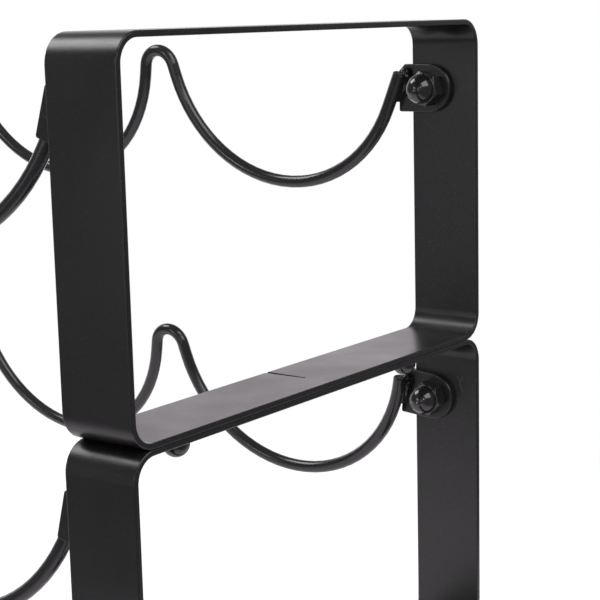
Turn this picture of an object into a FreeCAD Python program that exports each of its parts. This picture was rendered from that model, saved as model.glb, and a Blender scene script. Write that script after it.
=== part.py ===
import FreeCAD, Part
import math
import os

from FreeCAD import Rotation, Vector

# Stacking wine rack.
#
# Tiers stand on each other. A tier is two end loops of bent steel strip and two rails, each one wire bent
# into a row of bottle cradles. A rail's ends are welded to small tabs, and every tab sits on a stud of its
# end loop under a cap nut. Studs under an upper loop pass through the loop below and take low cap nuts.
#
# Lengths are millimetres. +X runs along the row of bottles, +Y from the front to the back, +Z up.
# The origin is the middle of the footprint, on the surface that the rack stands on.
# Corner pieces are drawn at the right end's back corner, and mirrored to the other three corners.

TIERS = ("bottom", "top")
ENDS = ("left", "right")
SIDES = ("front", "back")

# Row of bottles
BOTTLES_PER_TIER = 4
BOTTLE_PITCH = 109.2
FIRST_CRADLE = 74.4  # from the rack's end to the middle of the first cradle

# End loops, bent from flat strip
LOOP_DEPTH = 170.7  # front to back, outside
LOOP_HEIGHT = 103.6
STRIP_WIDTH = 24.0
STRIP_THICKNESS = 1.7
BEND_RADIUS = 8.0  # outside of a bend
STRIP_EDGE_RADIUS = 0.4

# Butt joint of the strip's two ends, in the middle of the bottom bar: open on the inner side, welded outside
SEAM_LENGTH = 14.5
SEAM_MOUTH = 1.5
SEAM_TIP = 0.7

# Wave rails
WIRE_DIAMETER = 4.3
CRADLE_RADIUS = 48.5  # to the wire's centreline, as the crest's radius is
CREST_RADIUS = 6.6
WAVE_HEIGHT = 46.6  # cradle bottom to crest, along the rail's own plane
CRADLE_LEVEL = 48.4  # cradle bottom above the tier's base
RAIL_LEAN = math.radians(7.3)  # crests lean towards the middle of the rack
WIRE_END_ROUNDING = 0.5
# Slope of the wire as it leaves the last cradle, and the level of its end above the tier's base.
# The two tiers' rails aren't bent quite alike.
WIRE_END_SLOPES = {"bottom": math.radians(77), "top": math.radians(64)}
WIRE_END_LEVELS = {"bottom": 88.0, "top": 86.5}

# Weld between a rail's end and its tab
WELD_LENGTH = 9.0
WELD_REACH = 3.9  # along the tab, from the wire's centreline
WELD_UNDERCUT = 0.5

# Tabs, round about the stud and square at the wire
TAB_THICKNESS = 2.0
TAB_RADIUS = 7.8
TAB_REACH = 11.7  # from the stud's axis to the square end
TAB_UPPER_CUT = 2.2  # the square end's upper corner is cut off, where the weld wraps over it
TAB_CORNER_RADIUS = 0.7
TAB_EDGE_RADIUS = 0.5
TAB_HOLE_RADIUS = 3.2
# Degrees that the square end is turned up, with the wire it holds. The front tabs sit steeper.
TAB_TILTS = {("front", "bottom"): 15.0, ("front", "top"): 18.0, ("back", "bottom"): 5.0, ("back", "top"): 0.0}

# Studs and cap nuts that hold the tabs
TAB_STUD_RADIUS = 2.95
TAB_STUD_LENGTH = 9.0
TAB_STUD_INSET = 16.4  # from the rack's end
TAB_STUD_LEVEL = 81.6  # above the tier's base
TAB_NUT = {
    "across_flats": 10.0,
    "hex_height": 4.8,
    "height": 10.2,
    "dome_radius": 4.8,
    "bore_radius": 3.0,
    "bore_depth": 7.4,
}
STUD_CHAMFER = 0.5

# Studs and low cap nuts that hold one tier on the next
STACK_STUD_RADIUS = 2.45
STACK_STUD_LENGTH = 6.6
STACK_STUD_PLACES = (-55.5, 57.5)  # front and back, from the middle of the loop
STACK_HOLE_RADIUS = 2.7
STACK_NUT = {
    "across_flats": 8.0,
    "hex_height": 3.3,
    "height": 7.4,
    "dome_radius": 3.8,
    "bore_radius": 2.5,
    "bore_depth": 5.2,
}

# Each nut stops at a turn of its own when it is tight
FIRST_NUT_TURN = 42.0
NUT_TURN_STEP = 16.25
NUT_CHAMFER_SLOPE = math.tan(math.radians(60))
CLEAR_PAST = 1.0  # how far a cutting tool runs past a face

RACK_LENGTH = 2 * FIRST_CRADLE + (BOTTLES_PER_TIER - 1) * BOTTLE_PITCH
RIGHT_END = RACK_LENGTH / 2
BACK_FACE = LOOP_DEPTH / 2
POST_INNER_FACE = BACK_FACE - STRIP_THICKNESS
TAB_FACE = POST_INNER_FACE - TAB_THICKNESS
WIRE_RADIUS = WIRE_DIAMETER / 2

X_AXIS, Y_AXIS, Z_AXIS = Vector(1, 0, 0), Vector(0, 1, 0), Vector(0, 0, 1)
ORIGIN = Vector(0, 0, 0)


def tier_base(tier):
    return TIERS.index(tier) * LOOP_HEIGHT


def mirrored(shape, end, side):
    """Carry a piece from the right end's back corner to the named corner."""
    if end == "left":
        shape = shape.mirror(ORIGIN, X_AXIS)
    if side == "front":
        shape = shape.mirror(ORIGIN, Y_AXIS)
    return shape


def save(shape, node):
    shape.exportStep("parts/" + node + ".step")


def polygon_face(points):
    return Part.Face(Part.makePolygon(points + points[:1]))


def revolved(profile_edges):
    """Turn a closed profile in the XZ plane about Z."""
    return Part.Face(Part.Wire(profile_edges)).revolve(ORIGIN, Z_AXIS, 360)


# ---- end loops ----------------------------------------------------------------------------------------


def rounded_block(inset, radius):
    """The block inside the strip's outer face, drawn in by inset, with its four long edges bent round."""
    corner = Vector(RIGHT_END - STRIP_WIDTH, inset - BACK_FACE, inset)
    block = Part.makeBox(STRIP_WIDTH, LOOP_DEPTH - 2 * inset, LOOP_HEIGHT - 2 * inset, corner)
    long_edges = [edge for edge in block.Edges if edge.BoundBox.XLength > STRIP_WIDTH / 2]
    return block.makeFillet(radius, long_edges)


def bent_strip():
    outer = rounded_block(0, BEND_RADIUS)
    inner = rounded_block(STRIP_THICKNESS, BEND_RADIUS - STRIP_THICKNESS)
    strip = outer.cut(inner)
    rims = [edge for edge in strip.Edges if edge.BoundBox.XLength < STRIP_EDGE_RADIUS]
    return strip.makeFillet(STRIP_EDGE_RADIUS, rims)


def seam_cutter():
    """A wedge through the bottom bar, wide at the strip's inner edge."""
    inner_edge = RIGHT_END - STRIP_WIDTH
    mouth = inner_edge - CLEAR_PAST
    tip = inner_edge + SEAM_LENGTH
    wedge = polygon_face(
        [
            Vector(mouth, -SEAM_MOUTH / 2, -CLEAR_PAST),
            Vector(tip, -SEAM_TIP / 2, -CLEAR_PAST),
            Vector(tip, SEAM_TIP / 2, -CLEAR_PAST),
            Vector(mouth, SEAM_MOUTH / 2, -CLEAR_PAST),
        ]
    )
    return wedge.extrude(Z_AXIS * (STRIP_THICKNESS + 2 * CLEAR_PAST))


def stack_stud_places():
    """Where the stacking studs pass a right end loop, front and back."""
    x = RIGHT_END - STRIP_WIDTH / 2
    return [Vector(x, y, 0) for y in STACK_STUD_PLACES]


def end_loop(carries_a_tier):
    loop = bent_strip().cut(seam_cutter())
    if carries_a_tier:
        under_top_bar = Z_AXIS * (LOOP_HEIGHT - STRIP_THICKNESS - CLEAR_PAST)
        depth = STRIP_THICKNESS + 2 * CLEAR_PAST
        for place in stack_stud_places():
            loop = loop.cut(Part.makeCylinder(STACK_HOLE_RADIUS, depth, place + under_top_bar))
    return loop


# ---- wave rails ---------------------------------------------------------------------------------------


def flank_angle():
    """Slope of the straight flank that touches a cradle's arc and a crest's arc from inside."""
    radii = CRADLE_RADIUS + CREST_RADIUS
    across = BOTTLE_PITCH / 2
    down = radii - WAVE_HEIGHT
    return math.atan2(across, down) - math.acos(radii / math.hypot(across, down))


FLANK = flank_angle()


def rail_plane_point(along, up):
    """A point of the back rail's plane, from its place along X and its height above a cradle's bottom."""
    height = CRADLE_LEVEL + up * math.cos(RAIL_LEAN)
    tab_foot = TAB_STUD_LEVEL - TAB_RADIUS
    clear_of_tab = TAB_THICKNESS + WIRE_RADIUS
    off_post = clear_of_tab + math.tan(RAIL_LEAN) * (height - tab_foot)
    return Vector(along, POST_INNER_FACE - off_post, height)


def bend(along, up, radius, way, first_slope=FLANK, last_slope=FLANK):
    """A bend about a point of the rail's plane, between two slopes: way is 1 for a crest, -1 for a cradle."""
    points = [
        rail_plane_point(along + radius * math.sin(angle), up + way * radius * math.cos(angle))
        for angle in (-first_slope, 0, last_slope)
    ]
    return Part.Arc(*points).toShape()


def wire_end(tier):
    """The right end of the wire's centreline and the unit vector along the straight that leads up to it."""
    slope = WIRE_END_SLOPES[tier]
    last_cradle = RIGHT_END - FIRST_CRADLE
    foot = (last_cradle + CRADLE_RADIUS * math.sin(slope), CRADLE_RADIUS * (1 - math.cos(slope)))
    top = (WIRE_END_LEVELS[tier] - CRADLE_LEVEL) / math.cos(RAIL_LEAN)
    rise = (top - foot[1]) / math.tan(slope)
    start, end = rail_plane_point(*foot), rail_plane_point(foot[0] + rise, top)
    return end, (end - start).normalize()


def rail_centreline(tier):
    """Cradles and crests with the straight flanks between them, from the left end to the right end."""
    right_end, _ = wire_end(tier)
    left_end = Vector(-right_end.x, right_end.y, right_end.z)
    last = BOTTLES_PER_TIER - 1
    bends = []
    for k in range(BOTTLES_PER_TIER):
        along = FIRST_CRADLE - RIGHT_END + k * BOTTLE_PITCH
        first_slope = WIRE_END_SLOPES[tier] if k == 0 else FLANK
        last_slope = WIRE_END_SLOPES[tier] if k == last else FLANK
        bends.append(bend(along, CRADLE_RADIUS, CRADLE_RADIUS, -1, first_slope, last_slope))
        if k < last:
            bends.append(bend(along + BOTTLE_PITCH / 2, WAVE_HEIGHT - CREST_RADIUS, CREST_RADIUS, 1))
    edges = [Part.makeLine(left_end, bends[0].firstVertex().Point)]
    for arc, following in zip(bends, bends[1:]):
        edges += [arc, Part.makeLine(arc.lastVertex().Point, following.firstVertex().Point)]
    edges += [bends[-1], Part.makeLine(bends[-1].lastVertex().Point, right_end)]
    return Part.Wire(edges)


def round_wire(tier):
    path = rail_centreline(tier)
    end, along_wire = wire_end(tier)
    start = Vector(-end.x, end.y, end.z)
    along_start = Vector(along_wire.x, -along_wire.y, -along_wire.z)
    section = Part.Face(Part.Wire(Part.makeCircle(WIRE_RADIUS, start, along_start)))
    wire = path.makePipe(section)
    cut_ends = [e for e in wire.Edges if e.CenterOfMass.distanceToPoint(end) < WIRE_RADIUS / 2]
    cut_ends += [e for e in wire.Edges if e.CenterOfMass.distanceToPoint(start) < WIRE_RADIUS / 2]
    return wire.makeFillet(WIRE_END_ROUNDING, cut_ends)


def weld_bead(tier):
    """The fillet of weld between the right end of the wire and the face of its tab."""
    end, along_wire = wire_end(tier)
    lean = Vector(0, math.cos(RAIL_LEAN), math.sin(RAIL_LEAN))  # square to the rail's plane, towards the post
    sideways = lean.cross(along_wire)
    reach = 2 * WIRE_DIAMETER
    corners = [(-WELD_UNDERCUT, 0), (WIRE_RADIUS, 0), (WELD_REACH, WIRE_DIAMETER), (WELD_REACH, reach)]
    corners.append((-WELD_UNDERCUT, reach))
    start = end - along_wire * (WELD_LENGTH + WIRE_END_ROUNDING)
    face = polygon_face([start + sideways * a + lean * b for a, b in corners])
    bead = face.extrude(along_wire * WELD_LENGTH)
    behind_tab_face = Part.makeBox(RACK_LENGTH, LOOP_DEPTH, LOOP_HEIGHT, Vector(0, TAB_FACE, 0))
    return bead.cut(behind_tab_face)


def wave_rail(tier):
    bead = weld_bead(tier)
    return round_wire(tier).fuse([bead, bead.mirror(ORIGIN, X_AXIS)]).removeSplitter()


# ---- tabs, studs and cap nuts -------------------------------------------------------------------------


def tab(tilt):
    """A tab against the post's inner face, its square end turned up about the stud by tilt degrees."""
    centre = Vector(RIGHT_END - TAB_STUD_INSET, POST_INNER_FACE, TAB_STUD_LEVEL)
    top, bottom = Vector(0, 0, TAB_RADIUS), Vector(0, 0, -TAB_RADIUS)
    reach = Vector(-TAB_REACH, 0, 0)
    below_cut = top + reach - Z_AXIS * TAB_UPPER_CUT
    beside_cut = top + reach + X_AXIS * TAB_UPPER_CUT
    outline = [
        Part.Arc(top, Vector(TAB_RADIUS, 0, 0), bottom).toShape(),
        Part.makeLine(bottom, bottom + reach),
        Part.makeLine(bottom + reach, below_cut),
        Part.makeLine(below_cut, beside_cut),
        Part.makeLine(beside_cut, top),
    ]
    plate = Part.Face(Part.Wire(outline)).extrude(-Y_AXIS * TAB_THICKNESS)
    through_edges = [e for e in plate.Edges if e.BoundBox.YLength > TAB_THICKNESS / 2]
    end_corners = [e for e in through_edges if e.BoundBox.XMax < -TAB_REACH / 2]
    plate = plate.makeFillet(TAB_CORNER_RADIUS, end_corners)
    front_rim = [e for e in plate.Edges if e.BoundBox.YMax < TAB_EDGE_RADIUS - TAB_THICKNESS]
    plate = plate.makeFillet(TAB_EDGE_RADIUS, front_rim)
    hole = Part.makeCylinder(TAB_HOLE_RADIUS, TAB_THICKNESS + 2 * CLEAR_PAST, Vector(0, CLEAR_PAST, 0), -Y_AXIS)
    plate = plate.cut(hole)
    plate.rotate(ORIGIN, Y_AXIS, tilt)
    return plate.translate(centre)


def stud(radius, length):
    """A welded stud that stands on the XY plane."""
    solid = Part.makeCylinder(radius, length)
    tip = [e for e in solid.Edges if e.BoundBox.ZMin > length - STUD_CHAMFER]
    return solid.makeChamfer(STUD_CHAMFER, tip)


def cap_nut(across_flats, hex_height, height, dome_radius, bore_radius, bore_depth):
    """A domed nut that stands on the XY plane, with a blind bore up from its foot."""
    corner_radius = across_flats / math.sqrt(3)
    corners = [
        Vector(corner_radius * math.cos(math.radians(a)), corner_radius * math.sin(math.radians(a)), 0)
        for a in range(0, 360, 60)
    ]
    hexagon = polygon_face(corners).extrude(Z_AXIS * hex_height)
    rim = across_flats / 2
    chamfer = (corner_radius - rim) / NUT_CHAMFER_SLOPE
    barrel = Part.makeCylinder(corner_radius, hex_height - 2 * chamfer, Z_AXIS * chamfer)
    barrel = barrel.fuse(Part.makeCone(rim, corner_radius, chamfer))
    barrel = barrel.fuse(Part.makeCone(corner_radius, rim, chamfer, Z_AXIS * (hex_height - chamfer)))
    hexagon = hexagon.common(barrel)

    dome_base = height - dome_radius
    slant = dome_radius * math.sqrt(0.5)
    foot, edge, top = ORIGIN, Vector(dome_radius, 0, dome_base), Z_AXIS * height
    dome = revolved(
        [
            Part.makeLine(foot, Vector(dome_radius, 0, 0)),
            Part.makeLine(Vector(dome_radius, 0, 0), edge),
            Part.Arc(edge, Vector(slant, 0, dome_base + slant), top).toShape(),
            Part.makeLine(top, foot),
        ]
    )
    bore = Part.makeCylinder(bore_radius, bore_depth)
    drill_tip = Part.makeCone(bore_radius, 0, bore_radius / 2, Z_AXIS * bore_depth)
    return hexagon.fuse(dome).removeSplitter().cut(bore.fuse(drill_tip))


def placed(shape, turn, point, direction):
    """Turn a piece about its own axis, then stand it at a point of the rack, along a direction."""
    shape = shape.copy()
    shape.rotate(ORIGIN, Z_AXIS, turn)
    shape.Placement = FreeCAD.Placement(point, Rotation(Z_AXIS, direction)).multiply(shape.Placement)
    return shape


def nut_turns():
    """An endless run of nut turns, within the sixty degrees after which a hexagon repeats."""
    turn = FIRST_NUT_TURN
    while True:
        yield turn
        turn = (turn + NUT_TURN_STEP) % 60


# ---- the rack -----------------------------------------------------------------------------------------


def make_loops():
    for tier in TIERS:
        loop = end_loop(carries_a_tier=tier != TIERS[-1])
        loop.translate(Z_AXIS * tier_base(tier))
        for end in ENDS:
            save(mirrored(loop, end, "back"), "end_loop_" + end + "_" + tier)


def make_rails():
    for tier in TIERS:
        raised = wave_rail(tier).translated(Z_AXIS * tier_base(tier))
        for side in SIDES:
            save(mirrored(raised, "right", side), "wave_rail_" + side + "_" + tier)


def make_tabs():
    for tier in TIERS:
        for side in SIDES:
            for end in ENDS:
                plate = tab(TAB_TILTS[side, tier]).translated(Z_AXIS * tier_base(tier))
                save(mirrored(plate, end, side), "_".join(("rail_tab", side, end, tier)))


def make_tab_fasteners():
    one_stud = stud(TAB_STUD_RADIUS, TAB_STUD_LENGTH)
    one_nut = cap_nut(**TAB_NUT)
    turns = nut_turns()
    for tier in reversed(TIERS):
        studs, nuts = [], []
        for end in reversed(ENDS):
            for side in reversed(SIDES):
                foot = Vector(RIGHT_END - TAB_STUD_INSET, POST_INNER_FACE, TAB_STUD_LEVEL + tier_base(tier))
                seat = foot - Y_AXIS * TAB_THICKNESS
                studs.append(mirrored(placed(one_stud, 0, foot, -Y_AXIS), end, side))
                nuts.append(mirrored(placed(one_nut, next(turns), seat, -Y_AXIS), end, side))
        save(Part.makeCompound(studs), "rail_studs_" + tier)
        save(Part.makeCompound(nuts), "rail_cap_nuts_" + tier)


def make_stack_fasteners():
    one_stud = stud(STACK_STUD_RADIUS, STACK_STUD_LENGTH)
    one_nut = cap_nut(**STACK_NUT)
    turns = nut_turns()
    for lower, upper in zip(TIERS, TIERS[1:]):
        joint = Z_AXIS * tier_base(upper)
        studs, nuts = [], []
        for end in ENDS:
            for place in stack_stud_places():
                seat = place + joint - Z_AXIS * STRIP_THICKNESS
                studs.append(mirrored(placed(one_stud, 0, place + joint, -Z_AXIS), end, "back"))
                nuts.append(mirrored(placed(one_nut, next(turns), seat, -Z_AXIS), end, "back"))
        save(Part.makeCompound(studs), "stacking_studs_" + upper + "_on_" + lower)
        save(Part.makeCompound(nuts), "stacking_cap_nuts_" + upper + "_on_" + lower)


os.makedirs("parts", exist_ok=True)
make_loops()
make_rails()
make_tabs()
make_tab_fasteners()
make_stack_fasteners()
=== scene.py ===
import math

import bmesh
import bpy
from mathutils import Matrix, Vector, noise


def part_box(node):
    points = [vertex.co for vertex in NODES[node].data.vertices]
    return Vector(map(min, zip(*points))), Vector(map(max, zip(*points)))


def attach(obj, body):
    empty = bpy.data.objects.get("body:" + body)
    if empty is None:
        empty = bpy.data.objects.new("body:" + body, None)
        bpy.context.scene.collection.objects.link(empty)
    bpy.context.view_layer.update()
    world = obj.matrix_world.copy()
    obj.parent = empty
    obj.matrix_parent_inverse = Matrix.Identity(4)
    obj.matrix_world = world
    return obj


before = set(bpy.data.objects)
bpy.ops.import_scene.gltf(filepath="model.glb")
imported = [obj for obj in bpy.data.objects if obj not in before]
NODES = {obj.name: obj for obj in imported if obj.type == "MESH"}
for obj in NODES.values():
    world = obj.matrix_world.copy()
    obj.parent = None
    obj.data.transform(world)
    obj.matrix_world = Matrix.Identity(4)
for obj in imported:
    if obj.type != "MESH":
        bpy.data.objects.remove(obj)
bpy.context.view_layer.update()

TIERS = ("bottom", "top")
ENDS = ("left", "right")
SIDES = ("front", "back")


# ---- places, read from the frame ----------------------------------------------------------------------

TOP_LOOP_LOW, TOP_LOOP_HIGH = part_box("end_loop_right_top")
RACK_LENGTH = 2 * TOP_LOOP_HIGH.x
RACK_DEPTH = TOP_LOOP_HIGH.y - TOP_LOOP_LOW.y
RACK_HEIGHT = TOP_LOOP_HIGH.z


# ---- shader helpers -----------------------------------------------------------------------------------


class Nodes:
    """A node tree with short calls for adding and joining nodes."""

    def __init__(self, owner):
        owner.use_nodes = True
        self.tree = owner.node_tree
        self.tree.nodes.clear()

    def add(self, kind, inputs=None, **settings):
        node = self.tree.nodes.new(kind)
        for name, value in settings.items():
            setattr(node, name, value)
        for name, value in (inputs or {}).items():
            if isinstance(value, bpy.types.NodeSocket):
                self.tree.links.new(value, node.inputs[name])
            else:
                node.inputs[name].default_value = value
        return node

    def math(self, operation, a, b=0.0, clamp=False):
        node = self.add("ShaderNodeMath", {0: a, 1: b}, operation=operation, use_clamp=clamp)
        return node.outputs[0]

    def ramp(self, value, low, high, to_low=0.0, to_high=1.0):
        inputs = {"Value": value, "From Min": low, "From Max": high, "To Min": to_low, "To Max": to_high}
        return self.add("ShaderNodeMapRange", inputs, interpolation_type="SMOOTHSTEP").outputs["Result"]

    def noise(self, point, scale, detail=2.0, roughness=0.5):
        inputs = {"Vector": point, "Scale": scale, "Detail": detail, "Roughness": roughness}
        return self.add("ShaderNodeTexNoise", inputs).outputs["Fac"]

    def vector(self, operation, a, b=(0.0, 0.0, 0.0)):
        node = self.add("ShaderNodeVectorMath", {0: a, 1: b}, operation=operation)
        return node.outputs["Vector"]

    def along(self, direction, axis):
        """The dot product of a direction and an axis."""
        node = self.add("ShaderNodeVectorMath", {0: direction, 1: axis}, operation="DOT_PRODUCT")
        return node.outputs["Value"]

    def bump(self, relief, strength, distance, rounded):
        normal = rounded.outputs["Normal"]
        inputs = {"Height": relief, "Strength": strength, "Distance": distance, "Normal": normal}
        return self.add("ShaderNodeBump", inputs)

    def surface(self, colour, gloss, bump, ior):
        """Join a shiny surface to the material's output."""
        inputs = {"Base Color": colour, "Roughness": gloss, "Normal": bump.outputs["Normal"], "IOR": ior}
        shader = self.add("ShaderNodeBsdfPrincipled", inputs)
        output = self.add("ShaderNodeOutputMaterial")
        self.tree.links.new(shader.outputs["BSDF"], output.inputs["Surface"])


# ---- materials ----------------------------------------------------------------------------------------

EDGE_HIGHLIGHT_AND_WEAR_TURNS = (0.78, 0.99)  # dot products of rounded and flat normals: a fully paled edge, which is a painted edge highlight that also stands for rubbing, and none
EDGE_HIGHLIGHT_AND_WEAR_CLOUDS = (0.3, 0.65)  # the levels of noise between which the paled edge, a painted edge highlight that also stands for rubbing, grows to its full amount

COAT_CLOUDS = (38.0, 3.0, 0.55)  # scale, detail and roughness of the slow changes in tone and gloss
COAT_CLOUD_LEVELS = (0.3, 0.7)
COAT_GLOSS_RANGE = (0.9, 1.12)  # of the coat's roughness
COAT_TONE_SWING = 0.5
COAT_TONE_LOWEST = 0.75
COAT_GRIT = (2600.0, 1.0)  # scale and detail
COAT_GRIT_HEIGHT = 0.25  # of the orange peel's
# painted glints: paler specks in the coat's colour stand for the sparkle of light on it
COAT_SPECKS = (1500.0, 0.0)
COAT_SPECK_LEVELS = (0.68, 0.76)
COAT_SPECK_GLINT = 0.2
COAT_EDGE_HIGHLIGHT_AND_WEAR = 0.8
COAT_SCRATCH_WEAR = 0.9
# the paler colour of scratches, and of the painted edge highlights and painted glints
COAT_WORN_AND_HIGHLIGHT_COLOUR = (0.05, 0.05, 0.052, 1.0)
COAT_WORN_AND_HIGHLIGHT_ROUGHNESS = 0.25  # added where the coat is paled by scratches, by rubbing and by painted highlights
COAT_BUMP = 0.55
COAT_IOR = 1.5

PLATING_COLOUR = (0.012, 0.012, 0.0125, 1.0)
# the paler colour of the fasteners' edges: a painted edge highlight that also stands for rubbing
PLATING_WORN_AND_HIGHLIGHT_COLOUR = (0.16, 0.155, 0.15, 1.0)
PLATING_SMEARS = (420.0, 3.0, 0.6)
PLATING_SMEAR_LEVELS = (0.35, 0.75)
PLATING_ROUGHNESS = (0.1, 0.24)
PLATING_MARKS = (2400.0, 1.0)
PLATING_MARK_HEIGHT = 0.3  # of the smears'
PLATING_EDGE_RADIUS = 0.00035
PLATING_EDGE_HIGHLIGHT_AND_WEAR = 0.6
PLATING_BUMP = 0.35
PLATING_BUMP_HEIGHT = 0.00006
PLATING_IOR = 1.6

SCRATCH_WIDTH = 0.00028
SCRATCH_CORE = 0.3  # of the width, where a scratch is fully pale


def scratch(nodes, point, start, finish):
    """A mask along a straight scratch between two points, 1 on the scratch."""
    run = finish - start
    offset = nodes.vector("SUBTRACT", point, start)
    along = nodes.math("ADD", nodes.along(offset, run / run.length_squared), 0.0, clamp=True)
    nearest = nodes.add("ShaderNodeVectorMath", {0: run}, operation="SCALE")
    nodes.tree.links.new(along, nearest.inputs["Scale"])
    gap = nodes.add("ShaderNodeVectorMath", {0: offset, 1: nearest.outputs["Vector"]}, operation="DISTANCE")
    return nodes.ramp(gap.outputs["Value"], SCRATCH_WIDTH * SCRATCH_CORE, SCRATCH_WIDTH, 1.0, 0.0)


def edge_highlight_and_wear(nodes, rounded, cloud, amount):
    """How far an edge is paled, a painted edge highlight that also stands for rubbing, between half and all
    of the amount along the edge.
    """
    flat = nodes.add("ShaderNodeNewGeometry").outputs["Normal"]
    edge = nodes.ramp(nodes.along(rounded.outputs["Normal"], flat), *EDGE_HIGHLIGHT_AND_WEAR_TURNS, 1.0, 0.0)
    return nodes.math("MULTIPLY", edge, nodes.ramp(cloud, *EDGE_HIGHLIGHT_AND_WEAR_CLOUDS, amount * 0.5, amount))


def powder_coat(name, colour, roughness, peel_scale, peel_height, edge_radius, scratches=()):
    """Semi-gloss black powder coat: fine orange peel, faint grit, cloudy gloss, pale scratches, paler
    specks that are painted glints, and paler edges that are a painted edge highlight and also stand for
    wear.
    """
    material = bpy.data.materials.new(name)
    nodes = Nodes(material)
    point = nodes.add("ShaderNodeTexCoord").outputs["Object"]

    cloud = nodes.noise(point, *COAT_CLOUDS)
    grit = nodes.noise(point, *COAT_GRIT)
    # painted glints: where paler specks are scattered over the coat
    speck = nodes.ramp(nodes.noise(point, *COAT_SPECKS), *COAT_SPECK_LEVELS)
    tone = nodes.math("MULTIPLY_ADD", cloud, COAT_TONE_SWING)
    tone.node.inputs[2].default_value = COAT_TONE_LOWEST

    rounded = nodes.add("ShaderNodeBevel", {"Radius": edge_radius}, samples=6)
    glint_specks = nodes.math("MULTIPLY", speck, COAT_SPECK_GLINT)
    # paled by painted glints, by painted edge highlights that also stand for rubbing, and by scratches
    worn_and_highlight = nodes.math("MAXIMUM", glint_specks, edge_highlight_and_wear(nodes, rounded, cloud, COAT_EDGE_HIGHLIGHT_AND_WEAR))
    for start, finish in scratches:
        scratched = nodes.math("MULTIPLY", scratch(nodes, point, start, finish), COAT_SCRATCH_WEAR)
        worn_and_highlight = nodes.math("MAXIMUM", worn_and_highlight, scratched)
    base = nodes.add("ShaderNodeMix", {"Factor": worn_and_highlight}, data_type="RGBA")
    base.inputs["A"].default_value = (*colour, 1.0)
    base.inputs["B"].default_value = COAT_WORN_AND_HIGHLIGHT_COLOUR
    tinted = nodes.add("ShaderNodeVectorMath", {0: base.outputs["Result"]}, operation="SCALE")
    nodes.tree.links.new(tone, tinted.inputs["Scale"])

    smooth, rough = (roughness * part for part in COAT_GLOSS_RANGE)
    gloss = nodes.ramp(cloud, *COAT_CLOUD_LEVELS, smooth, rough)
    gloss = nodes.math("ADD", gloss, nodes.math("MULTIPLY", worn_and_highlight, COAT_WORN_AND_HIGHLIGHT_ROUGHNESS))

    peel = nodes.noise(point, peel_scale)
    relief = nodes.math("MULTIPLY_ADD", grit, COAT_GRIT_HEIGHT)
    nodes.tree.links.new(peel, relief.node.inputs[2])
    bump = nodes.bump(relief, COAT_BUMP, peel_height, rounded)
    nodes.surface(tinted.outputs["Vector"], gloss, bump, COAT_IOR)
    return material


def black_plating(name):
    """Glossy black fasteners, with faint smears and tool marks, and paler edges that are a painted edge
    highlight and also stand for wear.
    """
    material = bpy.data.materials.new(name)
    nodes = Nodes(material)
    point = nodes.add("ShaderNodeTexCoord").outputs["Object"]
    smear = nodes.noise(point, *PLATING_SMEARS)
    marks = nodes.noise(point, *PLATING_MARKS)
    gloss = nodes.ramp(smear, *PLATING_SMEAR_LEVELS, *PLATING_ROUGHNESS)
    relief = nodes.math("MULTIPLY_ADD", marks, PLATING_MARK_HEIGHT)
    nodes.tree.links.new(smear, relief.node.inputs[2])
    rounded = nodes.add("ShaderNodeBevel", {"Radius": PLATING_EDGE_RADIUS}, samples=8)
    # paler edges: a painted edge highlight that also stands for rubbing
    worn_and_highlight = edge_highlight_and_wear(nodes, rounded, smear, PLATING_EDGE_HIGHLIGHT_AND_WEAR)
    base = nodes.add("ShaderNodeMix", {"Factor": worn_and_highlight}, data_type="RGBA")
    base.inputs["A"].default_value = PLATING_COLOUR
    base.inputs["B"].default_value = PLATING_WORN_AND_HIGHLIGHT_COLOUR
    bump = nodes.bump(relief, PLATING_BUMP, PLATING_BUMP_HEIGHT, rounded)
    nodes.surface(base.outputs["Result"], gloss, bump, PLATING_IOR)
    return material


STRIP_THICKNESS = 0.0017
POST_INNER_FACE = TOP_LOOP_HIGH.y - STRIP_THICKNESS


def on_post(across, below):
    """A point of the bottom tier's right back post, from the strip's outer edge and from the post's top."""
    return Vector((TOP_LOOP_HIGH.x - across, POST_INNER_FACE, TOP_LOOP_LOW.z - below))


SCRATCHES = (
    (on_post(0.0074, 0.0143), on_post(0.0055, 0.0194)),
    (on_post(0.0055, 0.0144), on_post(0.0063, 0.0160)),
)
STRIP_COAT = powder_coat(
    "strip_powder_coat",
    (0.009, 0.009, 0.0094),
    roughness=0.31,
    peel_scale=900.0,
    peel_height=0.00002,
    edge_radius=0.0004,
    scratches=SCRATCHES,
)
WIRE_COAT = powder_coat(
    "wire_powder_coat",
    (0.017, 0.017, 0.0178),
    roughness=0.2,
    peel_scale=700.0,
    peel_height=0.00004,
    edge_radius=0.0003,
)
FASTENER = black_plating("black_zinc")


def paint(obj, material):
    obj.data.materials.clear()
    obj.data.materials.append(material)


def paint_frame():
    for name, obj in NODES.items():
        if name.startswith(("end_loop", "rail_tab")):
            paint(obj, STRIP_COAT)
        elif name.startswith("wave_rail"):
            paint(obj, WIRE_COAT)
        else:
            paint(obj, FASTENER)


# ---- weld lumps ---------------------------------------------------------------------------------------

RING_POINTS = 16
RINGS = 26
LUMP_RADIUS = 0.00155
LUMP_SHIFT = 0.0016  # from the wire's centreline towards the nut
LUMP_DEPTH = 0.5  # of the way from the tab's face to the wire's centreline
LUMP_TIP = 0.04  # the part of a half turn of sine that is left out at each end
LUMP_BLUNTNESS = 0.45
WELD_LENGTH = 0.0092
RIPPLES = 4.5
RIPPLE_HEIGHT = 0.08  # of the bead's radius
SWELL_SCALE = 800.0  # of the noise that makes a bead uneven
SWELL_HEIGHT = 0.2  # of the bead's radius

RAIL_SEARCH = 0.012  # from a tab's square end towards the middle of the rail
CUT_END_DROP = 0.0009  # below the wire's highest point
LEVEL_BAND = 0.0018  # vertices this near to a level count as at it

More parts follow.
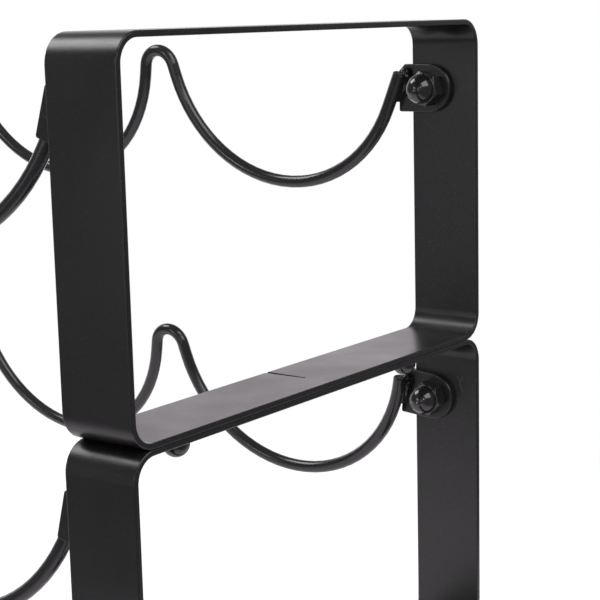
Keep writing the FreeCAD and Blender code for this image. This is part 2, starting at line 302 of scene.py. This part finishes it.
CORNER_INSET = 0.0024  # where a bead starts, from the tab's square end, its upper edge and its face
CORNER_DROP = 0.0015
CORNER_PROUD = 0.0004
OVER_END_SHIFT = 0.0004
OVER_END_RISE = 0.0006
DOWN_THE_WIRE = (0.3, 1.0)  # parts of the weld's length, where a bead's line has its last two corners


def rail_end(tier, side, end):
    """The centres of the wire at its cut end and a weld's length below it, from the rail's vertices."""
    tab_low, tab_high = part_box("_".join(("rail_tab", side, end, tier)))
    sign = 1 if end == "right" else -1
    square_end = tab_low.x if sign > 0 else tab_high.x
    rail = NODES["_".join(("wave_rail", side, tier))]
    near_tab = [v.co for v in rail.data.vertices if sign * (v.co.x - square_end) > -RAIL_SEARCH]
    top = max(co.z for co in near_tab)
    centres = []
    for drop in (CUT_END_DROP, WELD_LENGTH):
        level = [co for co in near_tab if abs(co.z - (top - drop)) < LEVEL_BAND]
        low = Vector(min(co[k] for co in level) for k in range(3))
        high = Vector(max(co[k] for co in level) for k in range(3))
        centres.append((low + high) / 2)
    return centres


def along_line(corners, steps):
    """Evenly numbered points along a line of straight pieces."""
    pieces = len(corners) - 1
    points = []
    for k in range(steps):
        place = k / (steps - 1) * pieces
        piece = min(int(place), pieces - 1)
        points.append(corners[piece].lerp(corners[piece + 1], place - piece))
    return points


def lumpy_bead(name, points, seed):
    """A closed bead with the ripples of a weld, round a line of points."""
    shape = bmesh.new()
    rings = []
    last = len(points) - 1
    for k, point in enumerate(points):
        along = (points[min(k + 1, last)] - points[max(k - 1, 0)]).normalized()
        across = along.orthogonal().normalized()
        other = along.cross(across)
        part = k / last
        taper = math.sin(math.pi * (LUMP_TIP + (1 - 2 * LUMP_TIP) * part)) ** LUMP_BLUNTNESS
        ripple = 1 + RIPPLE_HEIGHT * math.sin(2 * math.pi * RIPPLES * part + seed)
        radius = LUMP_RADIUS * taper * ripple
        ring = []
        for j in range(RING_POINTS):
            turn = 2 * math.pi * j / RING_POINTS
            out = across * math.cos(turn) + other * math.sin(turn)
            swell = noise.noise((point + out * radius) * SWELL_SCALE + Vector((seed, 0, 0)))
            ring.append(shape.verts.new(point + out * radius * (1 + SWELL_HEIGHT * swell)))
        rings.append(ring)
    for lower, upper in zip(rings, rings[1:]):
        for j in range(RING_POINTS):
            i = (j + 1) % RING_POINTS
            shape.faces.new((lower[j], lower[i], upper[i], upper[j]))
    shape.faces.new(rings[0])
    shape.faces.new(rings[-1])
    bmesh.ops.recalc_face_normals(shape, faces=shape.faces)
    for face in shape.faces:
        face.smooth = True
    mesh = bpy.data.meshes.new(name)
    shape.to_mesh(mesh)
    shape.free()
    bead = bpy.data.objects.new(name, mesh)
    bead.modifiers.new("rounding", "SUBSURF").render_levels = 1
    bpy.context.scene.collection.objects.link(bead)
    return bead


def make_weld_lumps():
    """The rippled metal of each weld, over the plain fillet between a rail's end and its tab."""
    seed = 0
    for tier in TIERS:
        for side in SIDES:
            for end in ENDS:
                tab_low, tab_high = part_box("_".join(("rail_tab", side, end, tier)))
                sign = 1 if end == "right" else -1
                square_end = tab_low.x if sign > 0 else tab_high.x
                face = tab_low.y if side == "back" else tab_high.y
                inward = -1 if side == "back" else 1
                proud = face + inward * CORNER_PROUD
                corner = Vector((square_end + sign * CORNER_INSET, proud, tab_high.z - CORNER_DROP))
                cut_end, foot = rail_end(tier, side, end)
                over_end = Vector((cut_end.x, (cut_end.y + face) / 2, cut_end.z))
                over_end += Vector((sign * OVER_END_SHIFT, 0, OVER_END_RISE))
                line = [corner, over_end]
                for part in DOWN_THE_WIRE:
                    centre = cut_end.lerp(foot, part)
                    depth = face + (centre.y - face) * LUMP_DEPTH
                    line.append(Vector((centre.x + sign * LUMP_SHIFT, depth, centre.z)))
                name = "_".join(("weld_lump", side, end, tier))
                bead = lumpy_bead(name, along_line(line, RINGS), seed)
                paint(bead, WIRE_COAT)
                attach(bead, "root")
                seed += 1


# ---- floor, light and camera --------------------------------------------------------------------------

WHITE = (1.0, 1.0, 1.0, 1.0)
FLOOR_REACH = 12.0
FLOOR_COLOUR = (0.82, 0.82, 0.82, 1.0)
FLOOR_LIFT = 0.45  # glow that the camera sees on the floor round the rack
FLOOR_WHITENS = (0.06, 0.22)  # distances from the rack's footprint

SWEEP_DIRECTION = (-0.6, 0.8, 0.0)
SWEEP_EDGE = (0.35, 0.8)  # the surround's edges are dot products with their directions
SWEEP_STRENGTH = 1.4
SWEEP_COLOUR = (1.03, 0.965, 1.02, 1.0)
SWEEP_TOP = (0.3, 0.6)
ROOM_STRENGTH = 0.2
FRONT = (0.0, -1.0, 0.0)
FRONT_EDGE = (0.8, 0.92)
FRONT_STRENGTH = 1.0
FRONT_TOP = (0.15, 0.35)
FRONT_FLOOR = (0.58, 0.88)  # distances from the middle of the rack
# the floor's painted glow near the rack, seen in reflections over the rack's shadow
NEAR_FLOOR_STRENGTH = 1.05
NEAR_FLOOR_FADES = (0.02, 0.16)  # distances from the rack's footprint


def towards_sweep(nodes, direction):
    """How far a direction turns to the white sweep behind the rack, from 0 to 1."""
    return nodes.ramp(nodes.along(direction, SWEEP_DIRECTION), *SWEEP_EDGE)


def towards_front(nodes, direction):
    """The strength of the pale screen straight ahead of the rack, in a direction."""
    return nodes.ramp(nodes.along(direction, FRONT), *FRONT_EDGE, 0.0, FRONT_STRENGTH)


def make_floor():
    """A pale floor that keeps the rack's shadow for the camera, and turns into the white sweep further out;
    in reflections it glows as a studio surround, with a painted glow over the rack's shadow near the rack.
    """
    mesh = bpy.data.meshes.new("floor")
    r = FLOOR_REACH
    mesh.from_pydata([(-r, -r, 0), (r, -r, 0), (r, r, 0), (-r, r, 0)], [], [(0, 1, 2, 3)])
    floor = bpy.data.objects.new("floor", mesh)
    bpy.context.scene.collection.objects.link(floor)
    material = bpy.data.materials.new("pale_floor")
    nodes = Nodes(material)
    point = nodes.add("ShaderNodeTexCoord").outputs["Object"]
    half = (RACK_LENGTH / 2, RACK_DEPTH / 2, 0.0)
    beyond = nodes.vector("SUBTRACT", nodes.vector("ABSOLUTE", point), half)
    beyond = nodes.vector("MAXIMUM", beyond)
    away = nodes.add("ShaderNodeVectorMath", {0: beyond}, operation="LENGTH").outputs["Value"]
    rays = nodes.add("ShaderNodeLightPath")

    seen = rays.outputs["Is Camera Ray"]
    pale = nodes.add("ShaderNodeBsdfDiffuse", {"Color": FLOOR_COLOUR})
    lift = nodes.math("MULTIPLY", seen, FLOOR_LIFT)
    glow = nodes.add("ShaderNodeEmission", {"Color": WHITE, "Strength": lift})
    near = nodes.add("ShaderNodeAddShader", {0: pale.outputs[0], 1: glow.outputs[0]})
    white = nodes.add("ShaderNodeEmission", {"Color": WHITE, "Strength": 1.0})
    whiter = nodes.math("MULTIPLY", nodes.ramp(away, *FLOOR_WHITENS), seen)
    shown = nodes.add("ShaderNodeMixShader", {0: whiter})
    nodes.tree.links.new(near.outputs[0], shown.inputs[1])
    nodes.tree.links.new(white.outputs[0], shown.inputs[2])

    # painted glow: near the rack the floor seen in reflections glows over the rack's shadow
    painted_near_glow = nodes.ramp(away, *NEAR_FLOOR_FADES, NEAR_FLOOR_STRENGTH, 0.0)
    outward = nodes.vector("NORMALIZE", point)
    strength = nodes.ramp(towards_sweep(nodes, outward), 0.0, 1.0, ROOM_STRENGTH, SWEEP_STRENGTH)
    reach = nodes.add("ShaderNodeVectorMath", {0: point}, operation="LENGTH").outputs["Value"]
    ahead = nodes.math("MULTIPLY", towards_front(nodes, outward), nodes.ramp(reach, *FRONT_FLOOR))
    strength = nodes.math("MAXIMUM", strength, nodes.math("MAXIMUM", ahead, painted_near_glow))
    studio = nodes.add("ShaderNodeEmission", {"Color": SWEEP_COLOUR, "Strength": strength})
    surface = nodes.add("ShaderNodeMixShader", {0: rays.outputs["Is Glossy Ray"]})
    nodes.tree.links.new(shown.outputs[0], surface.inputs[1])
    nodes.tree.links.new(studio.outputs[0], surface.inputs[2])
    output = nodes.add("ShaderNodeOutputMaterial")
    nodes.tree.links.new(surface.outputs[0], output.inputs["Surface"])
    paint(floor, material)


def make_world():
    """A white sweep behind the rack in a dim studio, plain white where the camera sees past the floor."""
    world = bpy.data.worlds.new("studio")
    bpy.context.scene.world = world
    nodes = Nodes(world)
    direction = nodes.add("ShaderNodeTexCoord").outputs["Generated"]
    height = nodes.add("ShaderNodeSeparateXYZ", {"Vector": direction}).outputs["Z"]
    low = nodes.ramp(height, *SWEEP_TOP, 1.0, 0.0)
    sweep = nodes.math("MULTIPLY", towards_sweep(nodes, direction), low)
    strength = nodes.ramp(sweep, 0.0, 1.0, ROOM_STRENGTH, SWEEP_STRENGTH)
    below_top = nodes.ramp(height, *FRONT_TOP, 1.0, 0.0)
    ahead = nodes.math("MULTIPLY", towards_front(nodes, direction), below_top)
    strength = nodes.math("MAXIMUM", strength, ahead)
    lit = nodes.add("ShaderNodeBackground", {"Color": SWEEP_COLOUR, "Strength": strength})
    white = nodes.add("ShaderNodeBackground", {"Color": WHITE, "Strength": 1.0})
    rays = nodes.add("ShaderNodeLightPath")
    mix = nodes.add("ShaderNodeMixShader", {"Fac": rays.outputs["Is Camera Ray"]})
    nodes.tree.links.new(lit.outputs[0], mix.inputs[1])
    nodes.tree.links.new(white.outputs[0], mix.inputs[2])
    output = nodes.add("ShaderNodeOutputWorld")
    nodes.tree.links.new(mix.outputs[0], output.inputs["Surface"])


LIGHT_AIM = Vector((0, 0, RACK_HEIGHT * 0.8))
SOFTBOXES = {  # direction from the aim, distance, width, height, radiance
    "softbox_left": ((-0.625, -0.18, 0.76), 1.85, 0.9, 0.85, 6.6),
    "softbox_right": ((0.74, -0.14, 0.66), 2.0, 1.6, 1.5, 3.4),
    "low_front": ((-0.29, -0.93, 0.21), 2.4, 0.35, 0.35, 8.0),
    "camera_side": ((0.63, -0.72, 0.286), 2.4, 0.3, 0.3, 6.0),
}


def softbox(name, direction, distance, width, height, radiance):
    """A rectangular area light that faces the middle of the top tier."""
    data = bpy.data.lights.new(name, "AREA")
    data.shape = "RECTANGLE"
    data.size = width
    data.size_y = height
    data.energy = radiance * math.pi * width * height
    light = bpy.data.objects.new(name, data)
    away = Vector(direction).normalized()
    light.location = LIGHT_AIM + away * distance
    light.rotation_euler = (-away).to_track_quat("-Z", "Y").to_euler()
    bpy.context.scene.collection.objects.link(light)


def make_lights():
    for name, settings in SOFTBOXES.items():
        softbox(name, *settings)


CAMERA_LENS = 94.93  # millimetres, as the sensor is
CAMERA_SENSOR = 36.0
CAMERA_NEAREST = 0.02
CAMERA_FROM_CORNER = Vector((0.2573, -0.2787, 0.1064))  # from the top right loop's front bottom corner
CAMERA_AZIMUTH = math.radians(36.36)
CAMERA_DEPRESSION = math.radians(10.24)
CAMERA_ROLL = math.radians(-1.369)


def make_camera():
    data = bpy.data.cameras.new("camera")
    data.lens = CAMERA_LENS
    data.sensor_width = CAMERA_SENSOR
    data.clip_start = CAMERA_NEAREST
    camera = bpy.data.objects.new("camera", data)
    corner = Vector((TOP_LOOP_HIGH.x, TOP_LOOP_LOW.y, TOP_LOOP_LOW.z))
    aim = Matrix.Rotation(CAMERA_AZIMUTH, 4, "Z") @ Matrix.Rotation(math.pi / 2 - CAMERA_DEPRESSION, 4, "X")
    camera.matrix_world = (
        Matrix.Translation(corner + CAMERA_FROM_CORNER) @ aim @ Matrix.Rotation(CAMERA_ROLL, 4, "Z")
    )
    bpy.context.scene.collection.objects.link(camera)
    bpy.context.scene.camera = camera


paint_frame()
make_weld_lumps()
make_floor()
make_world()
make_lights()
make_camera()
bpy.context.scene.view_settings.view_transform = "Standard"

bpy.context.view_layer.update()
